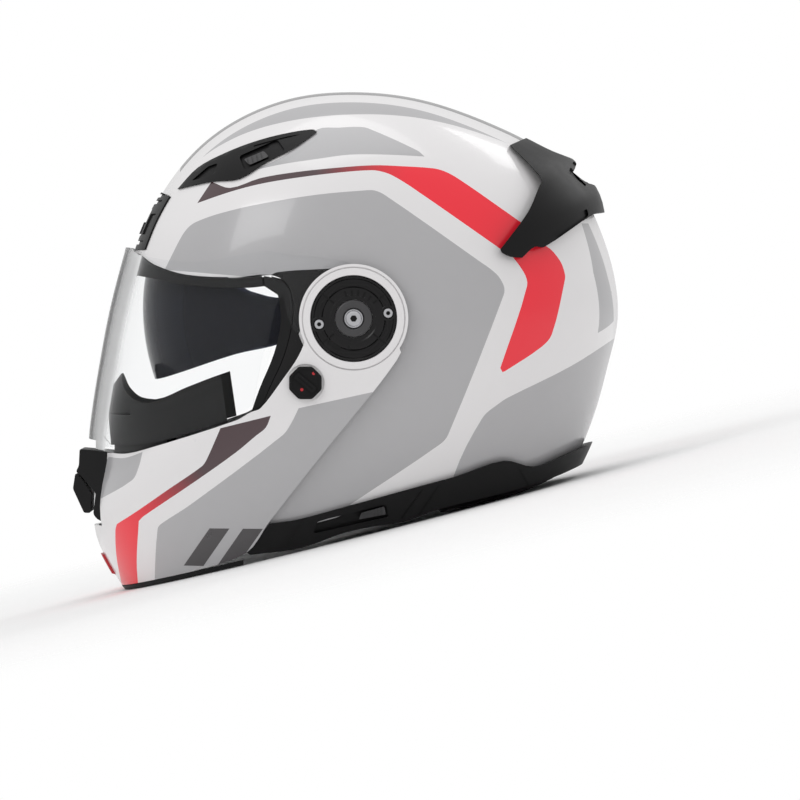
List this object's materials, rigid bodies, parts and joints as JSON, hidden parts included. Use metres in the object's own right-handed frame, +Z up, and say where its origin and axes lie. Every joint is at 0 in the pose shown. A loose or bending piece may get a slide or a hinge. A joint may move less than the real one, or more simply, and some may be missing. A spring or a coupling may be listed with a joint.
{
  "type": "motorcycle helmet",
  "caption": "Flip-up motorcycle helmet with hinged chin bar, clear visor, drop-down smoke sun visor, vents, padded lining and chin strap.",
  "frame": {"origin": "centre of the bounding box on the table plane under the base rim", "axes": "+X to the back of the helmet, -X the chin, -Y the wearer's left side, +Z up"},
  "size_m": [0.3551, 0.2535, 0.2654],
  "materials": {
    "shell_paint": "gloss white lacquer with grey panels and red bands",
    "satin_black": "satin moulded plastic",
    "switch_grey": "satin moulded plastic",
    "rubber": "matt rubber",
    "foam": "moulded foam",
    "red_plastic": "red moulded plastic",
    "clear_lens": "clear polycarbonate",
    "smoke_lens": "dark smoke polycarbonate",
    "steel": "satin steel",
    "lining_fabric": "dark knitted lining",
    "strap_webbing": "black woven webbing"
  },
  "bodies": {
    "shell": {"outer_shell": "shell_paint", "top_vent_left": "satin_black", "top_vent_right": "satin_black", "brow_vent": "satin_black", "rear_spoiler": "satin_black", "base_trim": "satin_black", "impact_liner": "foam", "crown_pad": "lining_fabric", "neck_roll": "lining_fabric", "brow_gasket": "rubber", "sun_visor_cable": "rubber", "buckle_body": "steel", "buckle_tongue": "switch_grey", "pivot_disc_left": "satin_black", "pivot_disc_right": "satin_black", "pivot_hub_left": "switch_grey", "pivot_hub_right": "switch_grey", "pivot_screw_left": "steel", "pivot_screw_right": "steel", "front_screw_left": "steel", "front_screw_right": "steel", "rear_screw_left": "steel", "rear_screw_right": "steel", "striker_left": "steel", "striker_right": "steel", "sun_visor_pivot_left": "switch_grey", "sun_visor_pivot_right": "switch_grey", "cheek_pad_left": "lining_fabric", "cheek_pad_right": "lining_fabric", "side_gasket_left": "rubber", "side_gasket_right": "rubber", "chin_strap_left": "strap_webbing", "chin_strap_right": "strap_webbing", "strap_rivet_left": "steel", "strap_rivet_right": "steel"},
    "chin_bar": {"chin_bar": "shell_paint", "chin_edge_trim": "rubber", "chin_bar_gasket": "rubber", "chin_bar_liner": "foam", "chin_vent_housing": "satin_black", "breath_deflector": "rubber"},
    "chin_flap": {"chin_vent_flap": "satin_black"},
    "ride_lever": {"ride_lever": "satin_black"},
    "release_button": {"release_button": "red_plastic"},
    "latch_left": {"latch_hook_left": "steel"},
    "latch_right": {"latch_hook_right": "steel"},
    "visor": {"visor": "clear_lens"},
    "sun_visor": {"sun_visor": "smoke_lens"},
    "slider": {"sun_visor_slider": "switch_grey"},
    "brow_switch": {"brow_vent_switch": "switch_grey"},
    "top_switch_left": {"top_vent_switch_left": "switch_grey"},
    "top_switch_right": {"top_vent_switch_right": "switch_grey"},
    "buckle_lever": {"buckle_lever": "red_plastic"}
  },
  "joints": [
    {"name": "chin_bar_flip", "type": "hinge", "parent": "shell", "child": "chin_bar", "pos_m": [0.014, 0, 0.1265], "axis": [0, 1, 0], "range_deg": [0, 70]},
    {"name": "visor_lift", "type": "hinge", "parent": "chin_bar", "child": "visor", "pos_m": [0.014, 0, 0.1265], "axis": [0, 1, 0], "range_deg": [0, 34]},
    {"name": "sun_visor_swing", "type": "hinge", "parent": "shell", "child": "sun_visor", "pos_m": [0.014, 0, 0.1265], "axis": [0, 1, 0], "range_deg": [0, 36]},
    {"name": "sun_visor_slide", "type": "slide", "parent": "shell", "child": "slider", "axis": [-1, 0, 0], "range_m": [0, 0.02]},
    {"name": "ride_lever_turn", "type": "hinge", "parent": "chin_bar", "child": "ride_lever", "pos_m": [-0.02285, 0, 0.09652], "axis": [0, 1, 0], "range_deg": [0, 60]},
    {"name": "release_press", "type": "slide", "parent": "chin_bar", "child": "release_button", "axis": [0.9029, 0, -0.4299], "range_m": [0, 0.004], "stiffness_N_per_m": 400},
    {"name": "latch_left_turn", "type": "hinge", "parent": "chin_bar", "child": "latch_left", "pos_m": [-0.08926, 0, 0.03063], "axis": [0, 1, 0], "range_deg": [0, 10]},
    {"name": "latch_right_turn", "type": "hinge", "parent": "chin_bar", "child": "latch_right", "pos_m": [-0.08926, 0, 0.03063], "axis": [0, 1, 0], "range_deg": [0, 10]},
    {"name": "chin_flap_tilt", "type": "hinge", "parent": "chin_bar", "child": "chin_flap", "pos_m": [-0.17181, 0, 0.05091], "axis": [0, -1, 0], "range_deg": [0, 10]},
    {"name": "brow_switch_slide", "type": "slide", "parent": "shell", "child": "brow_switch", "axis": [0.6157, 0, 0.788], "range_m": [0, 0.004]},
    {"name": "top_switch_left_slide", "type": "slide", "parent": "shell", "child": "top_switch_left", "axis": [0.9563, 0, 0.2924], "range_m": [0, 0.004]},
    {"name": "top_switch_right_slide", "type": "slide", "parent": "shell", "child": "top_switch_right", "axis": [0.9563, 0, 0.2924], "range_m": [0, 0.004]},
    {"name": "buckle_lever_tilt", "type": "hinge", "parent": "shell", "child": "buckle_lever", "pos_m": [-0.01616, -0.0496, 0.06342], "axis": [0.9703, 0, -0.2419], "range_deg": [0, 25], "stiffness_Nm_per_rad": 0.02}
  ],
  "couplings": [
    {"joint": "sun_visor_slide", "follows": "sun_visor_swing", "m_per_rad": 0.03182},
    {"joint": "latch_left_turn", "follows": "release_press", "rad_per_m": 43.623},
    {"joint": "latch_right_turn", "follows": "release_press", "rad_per_m": 43.623}
  ]
}
